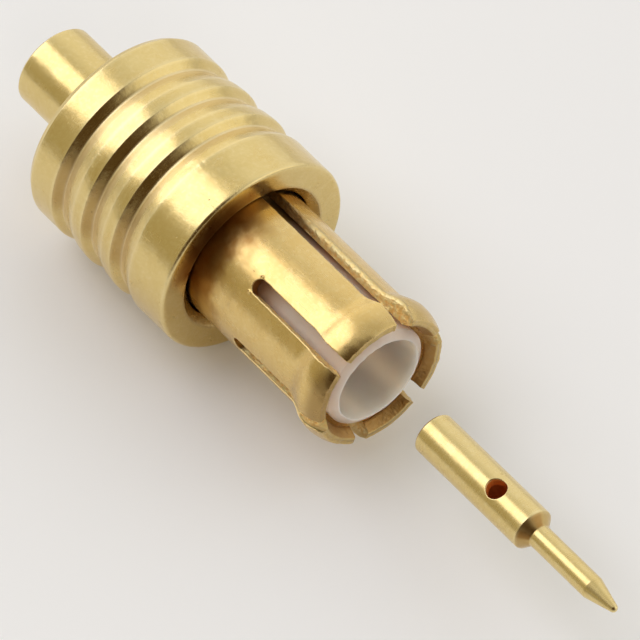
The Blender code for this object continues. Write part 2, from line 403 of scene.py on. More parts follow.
def gold(name, base, warm, pale, rough, lines, wave, line_depth, grain_depth, seed):
    """Gold plate over a turned (lines='rings') or drawn (lines='along') part."""
    mat, bsdf, g = new_material(name, base, 1.0, rough)
    tc = g.node("ShaderNodeTexCoord")
    raw = g.vmath("SCALE", tc.outputs["Object"], scale=1000.0)
    vec = g.vmath("ADD", raw, (seed * 3.1, seed * 1.7, seed * 2.3))
    slow = g.noise(vec, 0.75, 3.0, 0.5)
    mid = g.noise(vec, 2.6, 4.0, 0.55)
    fine = g.noise(vec, 11.0, 3.0, 0.6)
    grain = g.noise(vec, 70.0, 2.0, 0.6)
    if lines == "rings":
        line = g.noise(g.stretch(vec, (34.0, 0.35, 0.35)), 1.0, 3.0, 0.62)
        line2 = g.noise(g.stretch(vec, (9.0, 0.5, 0.5)), 1.0, 2.0, 0.5)
    else:
        line = g.noise(g.stretch(vec, (0.55, 17.0, 17.0)), 1.0, 3.0, 0.62)
        line2 = g.noise(g.stretch(vec, (0.8, 5.0, 5.0)), 1.0, 2.0, 0.5)
    edge = g.attribute("edge")
    cut = g.attribute("cut")
    stain = g.attribute("stain")
    deep = g.attribute("deep")
    pits = g.spots(vec, 2.4, 0.055, 0.33)
    dust = g.spots(vec, 6.5, 0.12, 0.10)
    # short scratches: thin stretches of a stretched noise near its middle value
    sc = g.noise(g.stretch(vec, (0.7, 13.0, 13.0), (0.5, 0.3, 0.9)), 1.0, 0.0, 0.4, 0.0)
    thin = g.ramp(g.math("ABSOLUTE", g.math("SUBTRACT", sc, 0.5)), 0.004, 0.0)
    scratch = g.math("MULTIPLY", thin, g.ramp(g.noise(vec, 1.3, 1.0, 0.5), 0.60, 0.68))

    tone = g.math("ADD", g.math("MULTIPLY", slow, 0.55), g.math("MULTIPLY", mid, 0.45))
    col = g.mix(g.ramp(tone, 0.36, 0.66), (*base, 1.0), (*warm, 1.0))
    col = g.mix(g.math("MULTIPLY", g.ramp(fine, 0.45, 0.75), 0.35), col, (*pale, 1.0))
    col = g.mix(g.math("MULTIPLY", edge, 0.55), col, (*pale, 1.0))
    speck = g.noise(vec, 9.0, 1.0, 0.5)
    rawcut = g.mix(g.ramp(speck, 0.35, 0.65), (min(1.0, base[0] * 1.30), base[1] * 1.36, base[2] * 1.50, 1.0),
                   (min(1.0, base[0] * 1.30), base[1] * 1.56, base[2] * 2.15, 1.0))
    col = g.mix(cut, col, rawcut)
    # painted light: lighter, rougher gold on the groove feet of the body, standing in for light where the
    # floor mirrors the dark wall
    col = g.mix(g.math("MULTIPLY", g.attribute("pale"), 0.62), col, (0.90, 0.75, 0.46, 1.0))
    # painted shade: darker gold on the collet's finger ends and on angle bands of its bead
    col = g.mix(g.attribute("dull"), col, (base[0] * 0.60, base[1] * 0.59, base[2] * 0.60, 1.0))
    # painted shade and painted reflection: dark brown where two pieces meet, in slot ends and recesses, and
    # on angle bands that stand in for dark reflections
    painted_shade_amount = g.math("MULTIPLY", stain, g.ramp(mid, 0.28, 0.58, 1.0, 0.86))
    col = g.mix(painted_shade_amount, col, (base[0] * 0.36, base[1] * 0.19, base[2] * 0.06, 1.0))
    dark = (base[0] * 0.45, base[1] * 0.36, base[2] * 0.28)
    col = g.mix(g.math("MULTIPLY", pits, 0.75), col, (*dark, 1.0))
    # painted reflection: hole walls get a flat orange-brown and less metal, standing in for the glow of gold
    # reflecting gold within the holes
    col = g.mix(deep, col, (0.80, 0.27, 0.055, 1.0))
    g.link(col, bsdf.inputs["Base Color"])
    g.link(g.math("SUBTRACT", 1.0, g.math("MULTIPLY", deep, 0.75)), bsdf.inputs["Metallic"])

    r = g.math("ADD", rough, g.math("MULTIPLY", g.math("SUBTRACT", mid, 0.5), 0.22))
    r = g.math("ADD", r, g.math("MULTIPLY", g.math("SUBTRACT", line, 0.5), 0.10))
    r = g.math("ADD", r, g.math("MULTIPLY", cut, 0.34))
    r = g.math("ADD", r, g.math("MULTIPLY", stain, 0.10))
    r = g.math("ADD", r, g.math("MULTIPLY", g.attribute("pale"), 0.16))
    r = g.math("ADD", r, g.math("MULTIPLY", pits, 0.20))
    r = g.math("ADD", r, g.math("MULTIPLY", scratch, 0.10))
    r = g.math("MAXIMUM", r, 0.08)
    g.link(r, bsdf.inputs["Roughness"])

    h = g.math("MULTIPLY", slow, wave * 1.6)
    h = g.math("ADD", h, g.math("MULTIPLY", mid, wave * 0.55))
    h = g.math("ADD", h, g.math("MULTIPLY", fine, wave * 0.085))
    h = g.math("ADD", h, g.math("MULTIPLY", line, line_depth))
    h = g.math("ADD", h, g.math("MULTIPLY", line2, line_depth * 2.2))
    h = g.math("ADD", h, g.math("MULTIPLY", grain, grain_depth))
    h = g.math("ADD", h, g.math("MULTIPLY", g.math("MULTIPLY", fine, cut), 0.055))
    h = g.math("ADD", h, g.math("MULTIPLY", g.math("MULTIPLY", speck, cut), 0.050))
    h = g.math("ADD", h, g.math("MULTIPLY", g.math("MULTIPLY", grain, cut), 0.0035))
    h = g.math("SUBTRACT", h, g.math("MULTIPLY", pits, 0.0035))
    h = g.math("SUBTRACT", h, g.math("MULTIPLY", scratch, 0.0012))
    h = g.math("ADD", h, g.math("MULTIPLY", dust, 0.0012))
    g.link(g.bump(h, MM), bsdf.inputs["Normal"])
    return mat


def fluoropolymer(name):
    base = (0.785, 0.61, 0.53)
    mat, bsdf, g = new_material(name, base, 0.0, 0.42)
    tc = g.node("ShaderNodeTexCoord")
    vec = g.vmath("SCALE", tc.outputs["Object"], scale=1000.0)
    slow = g.noise(vec, 1.1, 3.0, 0.5)
    fine = g.noise(vec, 9.0, 3.0, 0.55)
    ring = g.noise(g.stretch(vec, (26.0, 0.4, 0.4)), 1.0, 2.0, 0.55)
    specks = g.spots(vec, 3.1, 0.05, 0.22)
    edge = g.attribute("edge")
    col = g.mix(g.ramp(slow, 0.35, 0.68), (*base, 1.0), (0.75, 0.57, 0.48, 1.0))
    col = g.mix(g.math("MULTIPLY", edge, 0.5), col, (0.82, 0.68, 0.60, 1.0))
    col = g.mix(g.math("MULTIPLY", specks, 0.5), col, (0.42, 0.33, 0.25, 1.0))
    # painted light: lighter colour on the cavity's inner surface, standing in for light within the recess
    col = g.mix(g.attribute("pale"), col, (0.985, 0.80, 0.665, 1.0))
    # painted shade: dark brown towards the seat and under the seam and the slot
    col = g.mix(g.attribute("stain"), col, (0.27, 0.15, 0.05, 1.0))
    g.link(col, bsdf.inputs["Base Color"])
    r = g.math("ADD", 0.34, g.math("MULTIPLY", fine, 0.22))
    g.link(r, bsdf.inputs["Roughness"])
    bsdf.inputs["IOR"].default_value = 1.38
    bsdf.inputs["Subsurface Weight"].default_value = 1.0
    bsdf.inputs["Subsurface Radius"].default_value = (1.0, 0.75, 0.6)
    bsdf.inputs["Subsurface Scale"].default_value = 0.0011
    h = g.math("MULTIPLY", ring, 0.0016)
    h = g.math("ADD", h, g.math("MULTIPLY", fine, 0.0015))
    h = g.math("ADD", h, g.math("MULTIPLY", slow, 0.010))
    g.link(g.bump(h, MM), bsdf.inputs["Normal"])
    return mat


gold_body = gold("gold_body_finish", (0.755, 0.585, 0.25), (0.73, 0.55, 0.215),
                 (0.86, 0.71, 0.38), 0.24, "rings", 0.0112, 0.00058, 0.00045, 1.0)
gold_spring = gold("gold_spring_finish", (0.77, 0.56, 0.225), (0.74, 0.515, 0.185),
                   (0.88, 0.70, 0.36), 0.27, "along", 0.0094, 0.00026, 0.00050, 2.0)
gold_pin = gold("gold_pin_finish", (0.755, 0.59, 0.26), (0.73, 0.555, 0.225),
                (0.86, 0.72, 0.39), 0.26, "rings", 0.0026, 0.00024, 0.00026, 3.0)
white = fluoropolymer("white_insulator_finish")


# ----------------------------------------------------------------- body shell
def window(a, lo, hi, soft):
    """1 between the angles lo and hi (degrees), fading over soft."""
    return ease(np.clip((a - lo) / soft + 0.5, 0, 1)) * ease(np.clip((hi - a) / soft + 0.5, 0, 1))


def shell_piece():
    c = [(FACE_S, BODY_R, 0.085)]
    land = BODY_R
    for rear in GROOVES:
        front = rear + GROOVE_W
        floor = BODY_R - GROOVE_DEPTH
        c += [(front, land, 0.14),
              (rear + GROOVE_WALL, floor, 0.085), (rear, BODY_R, 0.035),
              (rear - 0.10, BODY_R, 0.0)]
        land = BODY_R - RIB_DROP
    c += [(LAND_END_S, BODY_R, 0.03), (REAR_S, REAR_EDGE_R, 0.03),
          (REAR_S, TUBE_R, 0.05), (TUBE_END_S + 0.06, TUBE_R, 0.03),
          (TUBE_END_S, TUBE_R - 0.06, 0.03), (TUBE_END_S, TUBE_BORE_R + 0.05, 0.02),
          (TUBE_END_S + 0.05, TUBE_BORE_R, 0.02), (SEAT_END_S, TUBE_BORE_R, 0.0),
          (SEAT_END_S, SEAT_R, 0.0), (SEAT_START_S, SEAT_R, 0.0),
          (SEAT_START_S + 0.06, NECK_R, 0.0), (NECK_S, NECK_R, 0.02),
          (FACE_S, MOUTH_R, 0.02)]

    def step(s, r):
        if r > BODY_R - 0.3:
            return 0.085
        if s > -0.2:
            return 0.07
        if s < REAR_S - 0.02 and r > 0.9:
            return 0.11
        if r > 1.75:
            return 0.12
        return 0.35
    pts = np.array(densify(rounded(c, 4), step))
    cols = 432
    phi = np.arange(cols) / cols * 2 * math.pi
    s0, r0 = pts[:, 0][:, None], pts[:, 1][:, None]
    u = np.broadcast_to(phi[None] / (2 * math.pi), (len(pts), cols))
    v = np.broadcast_to((s0 + 7.1) / 7.2, (len(pts), cols))
    outer = (r0 > BODY_R - 0.3) | ((s0 < REAR_S - 0.02) & (r0 > 0.9))
    # closeness to the groove and rim edges
    edges = [FACE_S - 0.04, LAND_END_S]
    for rear in GROOVES:
        edges += [rear, rear + GROOVE_W]
    near = np.zeros_like(s0)
    for e in edges:
        near = np.maximum(near, np.exp(-((s0 - e) / 0.035) ** 2) * (r0 > BODY_R - 0.06))
    near = np.maximum(near, np.exp(-((s0 - (TUBE_END_S + 0.03)) / 0.05) ** 2) * (r0 > 0.9))
    near = np.maximum(near, np.exp(-(np.hypot(s0 - FACE_S, r0 - MOUTH_R) / 0.03) ** 2))
    # painted light: a paler band on each groove floor at the base of its rear wall, standing in for light
    # where the floor would mirror the dark wall
    painted_foot_light = np.zeros_like(s0)
    for rear in GROOVES:
        painted_foot_light = np.maximum(painted_foot_light, ease(np.clip((s0 - rear - 0.14) / 0.06, 0, 1))
                          * ease(np.clip((rear + 0.47 - s0) / 0.16, 0, 1)) * (r0 > 2.0))
    # the skin: slow waves, nicked edges, a few shallow dents
    d = 0.0016 * layered(u, v, 26, 20, 11, 3, 0.55)
    nick = np.clip(layered(u, v, 150, 30, 21, 2, 0.6) - 0.45, 0.0, 1.0)
    d = d - near * (0.006 * nick + 0.0022 * np.abs(layered(u, v, 60, 30, 31, 3, 0.6)))
    dents = [(-0.60, 24, 0.09, 0.05, 0.006), (-0.35, -31, 0.05, 0.10, 0.004),
             (-1.45, 31, 0.07, 0.05, 0.006), (-2.35, 36, 0.06, 0.06, 0.005),
             (-4.30, 47, 0.10, 0.05, 0.005), (-4.35, -40, 0.06, 0.07, 0.004),
             (-2.55, 12, 0.05, 0.04, 0.005), (-3.50, -14, 0.05, 0.08, 0.004),
             (-6.10, 18, 0.07, 0.07, 0.003), (-0.80, 70, 0.12, 0.06, 0.005),
             (-4.40, 160, 0.10, 0.07, 0.006), (-0.50, 205, 0.08, 0.10, 0.005)]
    for ds, dp, ws, wp, depth in dents:
        a = (np.degrees(phi)[None] - dp + 180.0) % 360.0 - 180.0
        arc = np.radians(a) * BODY_R
        d = d - depth * np.exp(-((s0 - ds) / ws) ** 2 - (arc / wp) ** 2)
    d = np.where(outer, d, 0.0)
    a = np.degrees(phi)[None]
    a = (a + 180.0) % 360.0 - 180.0
    # painted reflection: the front face next to the mouth is dark brown on phi -47 to 33, standing in for its
    # reflection of the dark collet; painted shade: the bore of the mouth is darkened, more on that same side
    painted_face_shade = window(a, -47.0, 33.0, 16.0) * (s0 > FACE_S - 0.03) * np.clip((2.47 - r0) / 0.25, 0, 1)
    mouth = (r0 < MOUTH_R + 0.01) & (s0 > SEAT_START_S)
    stain = np.where(mouth, 0.34 + 0.31 * window(a, -45.0, 33.0, 24.0), 0.85 * painted_face_shade)
    # painted reflection: the groove rear walls are darkened on phi -66 to -26, standing in for a dark
    # reflection
    for rear in GROOVES:
        wall = ease(np.clip((s0 - rear + 0.01) / 0.03, 0, 1)) \
            * ease(np.clip((rear + GROOVE_WALL + 0.04 - s0) / 0.05, 0, 1)) * (r0 > 2.0)
        stain = np.maximum(stain, 0.55 * wall * window(a, -66.0, -26.0, 22.0))
    b = Build()
    co = place(np.broadcast_to(s0, d.shape), r0 + d, np.broadcast_to(phi[None], d.shape))
    idx = b.verts(co, edge=np.broadcast_to(near, d.shape), pale=np.broadcast_to(painted_foot_light, d.shape),
                  stain=np.broadcast_to(stain, d.shape)).reshape(d.shape)
    b.grid(idx, wrap_rows=True, wrap_cols=True)
    return b.finish("grooved_body", gold_body)


# ---------------------------------------------------------------- the collet
def collet_piece():
    # outer and inner lines, both from the rear end to the front end
    def outer_r(s):
        if s <= BEAD_START_S:
            return COLLET_R
        if s <= BEAD_TOP_S:
            t = (s - BEAD_START_S) / (BEAD_TOP_S - BEAD_START_S)
            return COLLET_R + (BEAD_R - COLLET_R) * 0.5 * (1.0 - math.cos(math.pi * t))
        t = (s - BEAD_TOP_S) / (TIP_S - BEAD_TOP_S)
        return BEAD_R - (BEAD_R - TIP_R) * t ** 2.2

    ss = [COLLET_REAR_S, COLLET_REAR_S + 0.03, COLLET_REAR_S + 0.12]
    ss += list(np.linspace(-1.9, -0.2, 7))
    ss += list(np.arange(-0.10, 1.20, 0.052))
    ss += list(np.linspace(1.21, 1.70, 26))
    ss += list(np.linspace(1.75, 3.40, 34))
    ss += list(np.linspace(3.44, TIP_S - 0.065, 38))
    rows_out = [(s, outer_r(s)) for s in ss]
    front = rounded([(TIP_S - 0.065, outer_r(TIP_S - 0.065), 0.0),
                     (TIP_S, TIP_R, 0.030), (TIP_S, TIP_R - 0.04, 0.0)], 6, False)
    front = densify(front, 0.04, False)
    rows_out += front[1:]
    rows_out[0] = (COLLET_REAR_S, COLLET_R - 0.03)
    O = np.array(rows_out)
    nrow = len(O)
    split = int(np.searchsorted(O[:, 0], 1.0))
    # inner line follows the outer one, ending at the bevelled finger end
    i_s = O[:, 0].copy()
    end_in = TIP_INNER_S - 0.14
    k = O[:, 0] > 3.6
    i_s[k] = 3.6 + (np.arange(k.sum()) + 1) / k.sum() * (end_in - 3.6)
    I = np.stack([i_s, np.full(nrow, COLLET_BORE_R)], -1)
    I[0] = (COLLET_REAR_S, COLLET_BORE_R + 0.02)
    # the finger end, from the outer edge to the inner one
    end = rounded([(TIP_S, TIP_R - 0.04, 0.0), (TIP_S + 0.004, TIP_R - 0.170, 0.025),
                   (end_in + 0.03, COLLET_BORE_R + 0.006, 0.02),
                   (end_in, COLLET_BORE_R, 0.0)], 5, False)
    end = np.array(end)
    cum = np.concatenate([[0], np.cumsum(np.hypot(*np.diff(end, axis=0).T))])
    turn = 0.130 / cum[-1]
    cum /= cum[-1]
    layers = np.array([0.0, 0.10, 0.20, turn - 0.032, turn + 0.032, 0.60, 0.84, 1.0])
    E = np.stack([np.interp(layers, cum, end[:, k]) for k in (0, 1)], -1)
    P = O[:, None] * (1 - layers[None, :, None]) + I[:, None] * layers[None, :, None]
    back = np.clip((O[:, 0] - (TIP_S - 0.16)) / 0.16, 0, 1) ** 1.5
    back[-1] = 1.0
    P = P + back[:, None, None] * (E - P[-1])[None]

    # columns: from the seam's far side all the way round to its near side
    cuts = [(SEAM_PHI, SEAM_W)] + [(p, SLOT_W) for p in SLOT_PHI] + [(SEAM_PHI + 360.0, SEAM_W)]
    near_edge = [0.0, 0.005, 0.010, 0.016, 0.024, 0.036, 0.056, 0.090]
    cols = []       # (kind, k, t or x)
    for k in range(6):
        arc = math.radians(cuts[k + 1][0] - cuts[k][0]) * COLLET_R \
            - 0.5 * (cuts[k][1] + cuts[k + 1][1])
        inner = np.linspace(near_edge[-1], arc - near_edge[-1], 26)[1:-1]
        d = np.concatenate([near_edge, inner, arc - np.array(near_edge[::-1])]) / arc
        for t in d:
            cols.append(("finger", k, t))
        if k < 5:
            for x in -np.cos(np.linspace(0, math.pi, 15))[1:-1]:
                cols.append(("slot", k + 1, x))
    ncol = len(cols)
    c_slot = 1.51 + 0.5 * SLOT_W               # centre of the slot's round end
    r_row0 = int(np.searchsorted(O[:, 0], 1.38))   # rows from here bend to the end
    r_row1 = int(np.argmin(np.abs(O[:, 0] - c_slot)))
    O_s_at = O[r_row1, 0]

    S = np.zeros((nrow, len(layers), ncol))
    R = np.zeros_like(S)
    PH = np.zeros_like(S)
    EDGE = np.zeros_like(S)
    CUT = np.zeros_like(S)
    rng = np.random.default_rng(5)
    lay = layers[None, :]
    for j, (kind, k, t) in enumerate(cols):
        s, r = P[..., 0].copy(), P[..., 1].copy()
        if kind == "finger":
            (pa, wa), (pb, wb) = cuts[k], cuts[k + 1]
            # wandering sheared edges, rougher near the finger ends
            def edge_line(seed, s, w):
                q = (s + 2.2) / 7.0
                a = layered(np.full_like(q, 0.3), q, 3, 40, seed, 4, 0.6)
                more = 3.0 if w == SEAM_W else 1.4
                return 0.0045 * a * (1.0 + more * np.clip((s - 2.9) / 1.2, 0, 1))
            la = np.radians(pa) + np.arcsin((0.5 * wa + edge_line(100 + k, s, wa)) / r)
            lb = np.radians(pb) - np.arcsin((0.5 * wb + edge_line(200 + k, s, wb)) / r)
            ph = la + (lb - la) * t
            arc = (lb - la) * r
            da, db = arc * t, arc * (1 - t)
            free_a = 1.0 if wa == SEAM_W else (s > c_slot - 0.05).astype(float)
            free_b = 1.0 if wb == SEAM_W else (s > c_slot - 0.05).astype(float)
            for dist, free, rolled in ((da, free_a, k == 0), (db, free_b, False)):
                e = 0.016 + rolled * 0.092 * ease(np.clip((s + 0.1) / 1.4, 0, 1)) \
                    * (1.0 - ease(np.clip((s - 4.15) / 0.35, 0, 1)))
                q = np.clip((e - dist) / e, 0, 1)
                drop = e * (1 - np.sqrt(np.clip(1 - q * q, 0, 1))) * free
                q_in = np.clip((0.016 - dist) / 0.016, 0, 1)
                drop_in = 0.011 * (1 - np.sqrt(np.clip(1 - q_in * q_in, 0, 1))) * free
                r = r - drop * (1 - lay) + drop_in * lay
                if rolled:
                    CUT[:, :, j] = np.maximum(CUT[:, :, j], 0.75 * np.sqrt(q) * (lay == 0.0) * (s > 0.3))
                EDGE[:, :, j] = np.maximum(EDGE[:, :, j],
                                           np.exp(-(dist / 0.022) ** 2) * free * (lay < 0.05))
                # the rim of a sheared slot turns up a little before it falls away
                r = r + 0.0035 * np.exp(-((dist - 0.032) / 0.022) ** 2) * free * (lay == 0.0)
            if t in (0.0, 1.0):
                CUT[:, :, j] = np.maximum(CUT[:, :, j], (lay > 0.02) * (free_a if t == 0.0 else free_b))
        else:
            pc, w = cuts[k]
            x = 0.5 * w * t
            ph = np.radians(pc) + np.arcsin(x / r)
            depth = 0.5 * w * math.sqrt(max(0.0, 1 - t * t))
            # rows r_row0..r_row1 close up towards the round end
            base0 = O[r_row0, 0]
            f = np.clip((O[:, 0] - base0) / (O_s_at - base0), 0, 1)
            top = O_s_at - depth
            new = base0 + (top - base0) * f
            s = np.where((np.arange(nrow) >= r_row0)[:, None],
                         np.broadcast_to(new[:, None], s.shape), s)
            q = np.clip((0.016 - (top - new)) / 0.016, 0, 1) * (np.arange(nrow) >= r_row0)
            drop = 0.016 * (1 - np.sqrt(np.clip(1 - q * q, 0, 1)))
            r = r - drop[:, None] * (lay == 0.0) + 0.7 * drop[:, None] * (lay == 1.0)
            EDGE[:, :, j] = np.exp(-((top - new) / 0.022) ** 2)[:, None] \
                * (np.arange(nrow) >= r_row0)[:, None] * (lay < 0.05)
        S[:, :, j], R[:, :, j], PH[:, :, j] = s, r, ph

    # skin: drawn metal, slightly uneven, more so near the formed bead
    u = (PH / (2 * math.pi)) % 1.0
    v = (S + 2.2) / 7.0
    skin = 0.0022 * layered(u, v, 22, 16, 41, 3, 0.5) \
        + 0.0010 * layered(u, v, 90, 60, 51, 2, 0.5)
    skin = skin * (1.0 + 0.8 * np.clip((S - 3.3) / 0.8, 0, 1))
    R = R + skin * (layers < 0.05)[None, :, None]
    # two small burrs at the closed end of the slot that faces the camera
    for off, at in ((0.225, 1.60), (-0.225, 1.56)):
        arc = ((np.degrees(PH) - SLOT_PHI[-1] + 180.0) % 360.0 - 180.0) * math.pi / 180.0 * COLLET_R
        R = R + 0.030 * np.exp(-((S - at) / 0.045) ** 2 - ((arc - off) / 0.028) ** 2) \
            * (layers < 0.05)[None, :, None]
    # rough walls of the cuts
    rough = (0.0100 + 0.0080 * np.clip((S - 2.6) / 1.2, 0, 1)) * layered(u * 7.0 % 1.0 + 0.11 * layers[None, :, None], v, 12, 90, 61, 3, 0.6)
    wall = (CUT > 0.5) & (layers > 0.02)[None, :, None] & (layers < 0.98)[None, :, None]
    side = np.zeros(ncol)
    for j, (kind, k, t) in enumerate(cols):
        if kind == "finger" and t in (0.0, 1.0):
            side[j] = 1.0 if t == 0.0 else -1.0
    PH = PH + np.where(wall, np.abs(rough) / R * side[None, None, :], 0.0)
    # finger ends: a ragged line, higher burrs at some corners
    tipw = np.clip((S - (TIP_S - 0.20)) / 0.20, 0, 1) ** 2
    S = S + tipw * 0.010 * layered(u, np.full_like(u, 0.4), 70, 1, 71, 3, 0.6)
    at_end = (np.arange(nrow) >= nrow - 1)[:, None, None]
    CUT = np.maximum(CUT, at_end * (layers > 0.1)[None, :, None] * 0.30)
    # painted shade and painted reflection: darker gold on the finger ends, near the tips on phi -72 to -22,
    # and on the bead of the far finger on phi 62 to 114
    PAINTED_DARK = at_end * np.where(layers > turn, 0.20, 0.60)[None, :, None] * np.ones_like(S)
    ang = (np.degrees(PH) + 180.0) % 360.0 - 180.0
    tipward = ease(np.clip((S - 4.05) / 0.45, 0, 1)) * (layers < 0.25)[None, :, None]
    PAINTED_DARK = np.maximum(PAINTED_DARK, tipward * (0.30 + 0.60 * window(ang, -72.0, -22.0, 14.0)))
    PAINTED_DARK = np.maximum(PAINTED_DARK, 0.38 * ease(np.clip((S - 3.4) / 0.5, 0, 1)) * window(ang, 62.0, 114.0, 16.0)
                      * (layers < 0.25)[None, :, None])
    EDGE = np.maximum(EDGE, np.exp(-((O[:, 0] - TIP_S) / 0.035) ** 2)[:, None, None]
                      * (layers < 0.05)[None, :, None] * 0.35)

    # which cells hold metal
    solid = np.ones((nrow - 1, ncol - 1), bool)
    slot_cols = [j for j, c in enumerate(cols) if c[0] == "slot"]
    for j in range(ncol - 1):
        if cols[j][0] == "slot" or cols[j + 1][0] == "slot":
            solid[r_row1:, j] = False
    a = (np.degrees(PH) + 180.0) % 360.0 - 180.0
    # painted shade and painted reflection: dark brown where the collet enters the body (strongest on phi -60
    # to 22), on cut walls towards the closed slot ends and the root of the seam, on the inner bevel of the
    # finger ends, on the inner half of the far wall of the slot at phi 107, on cut walls at the back and at
    # the slots' round ends; the bands near the tips on phi -72 to -22 stand in for dark reflections
    ragged = 0.20 * layered(u, v, 22, 16, 131, 4, 0.65)
    reach = np.exp(-(np.clip(S + ragged - 0.20, 0, None) / 0.66) ** 3)
    PAINTED_SHADE = reach * (0.25 + 0.75 * window(a, -60.0, 22.0, 30.0))
    by_seam = np.abs((a - SEAM_PHI + 180.0) % 360.0 - 180.0) < 15.0
    PAINTED_SHADE = np.maximum(PAINTED_SHADE, (CUT > 0.5) * np.where(by_seam, 0.70 * np.clip((1.35 - S) / 0.6, 0, 1),
                                                     0.85 * np.clip((1.80 - S) / 0.22, 0, 1)))
    PAINTED_SHADE = np.maximum(PAINTED_SHADE, 0.78 * at_end * (layers > turn)[None, :, None])
    PAINTED_SHADE = np.maximum(PAINTED_SHADE, 0.30 * tipward * window(ang, -72.0, -22.0, 14.0))
    PAINTED_SHADE = np.maximum(PAINTED_SHADE, 0.40 * (CUT > 0.5) * (np.abs(a) > 125.0))
    inward = np.clip((layers - 0.15) / 0.30, 0, 1)[None, :, None]
    PAINTED_SHADE = np.maximum(PAINTED_SHADE, 0.80 * (CUT > 0.5) * (a > 105.0) * (a < 125.0) * inward)
    is_slot = np.array([c[0] == "slot" for c in cols])
    PAINTED_SHADE = np.maximum(PAINTED_SHADE, 0.6 * is_slot[None, None, :] * (layers > 0.05)[None, :, None]
                       * (np.abs(np.arange(nrow) - r_row1) < 1)[:, None, None])
    b = Build()
    co = place(S, R, PH)
    idx = b.verts(co, edge=EDGE, cut=CUT, stain=PAINTED_SHADE, dull=PAINTED_DARK).reshape(S.shape)
    L = len(layers) - 1
    top = idx[:, 0, :]
    bot = idx[:, L, :]
    b.grid(top, keep=solid)
    b.grid(bot[:, ::-1], keep=solid[:, ::-1])
    # walls wherever a metal cell has no neighbour
    pad = np.zeros((nrow + 1, ncol + 1), bool)
    pad[1:-1, 1:-1] = solid
    for i in range(nrow - 1):
        for j in np.nonzero(solid[i])[0]:
            if not pad[i + 1, j]:            # open towards lower columns
                for m in range(L):
                    b.quad([idx[i, m, j]], [idx[i + 1, m, j]],
                           [idx[i + 1, m + 1, j]], [idx[i, m + 1, j]])
            if not pad[i + 1, j + 2]:
                for m in range(L):
                    b.quad([idx[i + 1, m, j + 1]], [idx[i, m, j + 1]],
                           [idx[i, m + 1, j + 1]], [idx[i + 1, m + 1, j + 1]])
            if not pad[i, j + 1]:
                for m in range(L):
                    b.quad([idx[i, m, j + 1]], [idx[i, m, j]],
                           [idx[i, m + 1, j]], [idx[i, m + 1, j + 1]])
            if not pad[i + 2, j + 1]:
                for m in range(L):
                    b.quad([idx[i + 1, m, j]], [idx[i + 1, m, j + 1]],
                           [idx[i + 1, m + 1, j + 1]], [idx[i + 1, m + 1, j]])
    return b.finish("slotted_collet", gold_spring)


# ---------------------------------------------------------------- insulator
def insulator_piece():
    c = [(INSUL_FRONT_S, CAVITY_R, 0.012), (INSUL_FRONT_S, CAVITY_R + 0.028, 0.014),
         (INSUL_CHAMFER_S, INSUL_R, 0.06), (INSUL_FLANGE_S + 0.05, INSUL_R, 0.0),
         (INSUL_FLANGE_S, INSUL_FLANGE_R, 0.02), (INSUL_REAR_S, INSUL_FLANGE_R, 0.04),
         (INSUL_REAR_S, CORE_HOLE_R, 0.0), (STOP_S, CORE_HOLE_R, 0.0),
         (STOP_S, GUIDE_R, 0.0), (CAVITY_FLOOR_S, GUIDE_R, 0.04),
         (CAVITY_FLOOR_S, CAVITY_R, 0.09)]

    def step(s, r):
        if s > 4.3:
            return 0.03
        if s > 1.3:
            return 0.10
        return 0.30
    pts = np.array(densify(rounded(c, 6), step))
    cols = 288
    phi = np.arange(cols) / cols * 2 * math.pi
    s0, r0 = pts[:, 0][:, None], pts[:, 1][:, None]
    u = np.broadcast_to(phi[None] / (2 * math.pi), (len(pts), cols))
    v = np.broadcast_to((s0 + 2.2) / 7.0, (len(pts), cols))
    free = (s0 > 1.4)
    d = np.where(free, 0.004 * layered(u, v, 9, 9, 81, 3, 0.5), 0.0)
    front = np.exp(-((s0 - INSUL_FRONT_S) / 0.05) ** 2)
    ds = front * 0.006 * layered(u, np.full_like(u, 0.5), 30, 1, 91, 3, 0.6)
    edge = np.broadcast_to(np.exp(-(np.hypot(s0 - INSUL_FRONT_S, r0 - CAVITY_R) / 0.03) ** 2),
                           d.shape)
    b = Build()
    co = place(s0 + ds, r0 + d, np.broadcast_to(phi[None], d.shape))
    a = (np.degrees(phi)[None] + 180.0) % 360.0 - 180.0
    # painted shade on the insulator: dark brown towards the seat, and further forward under the seam and
    # under the slot that faces the camera
    seam = window(a, 28.0, 72.0, 8.0)
    slot = window(a, -25.0, 0.0, 4.0)
    painted_seat_shade = np.maximum(np.clip((1.15 - s0) / 0.7, 0, 1),
                           0.72 * seam * np.clip((2.5 - s0) / 1.5, 0, 1))
    painted_seat_shade = (r0 > 1.2) * np.maximum(painted_seat_shade, 0.75 * slot * np.clip((2.40 - s0) / 0.65, 0, 1))
    # painted light: marks the cavity's inner surface for the lighter colour
    inside = (r0 < CAVITY_R + 0.008) & (s0 > CAVITY_FLOOR_S - 0.02)
    idx = b.verts(co, edge=edge, stain=painted_seat_shade,
                  pale=np.broadcast_to(inside.astype(float), d.shape)).reshape(d.shape)
    b.grid(idx, wrap_rows=True, wrap_cols=True)
    return b.finish("white_core", white)


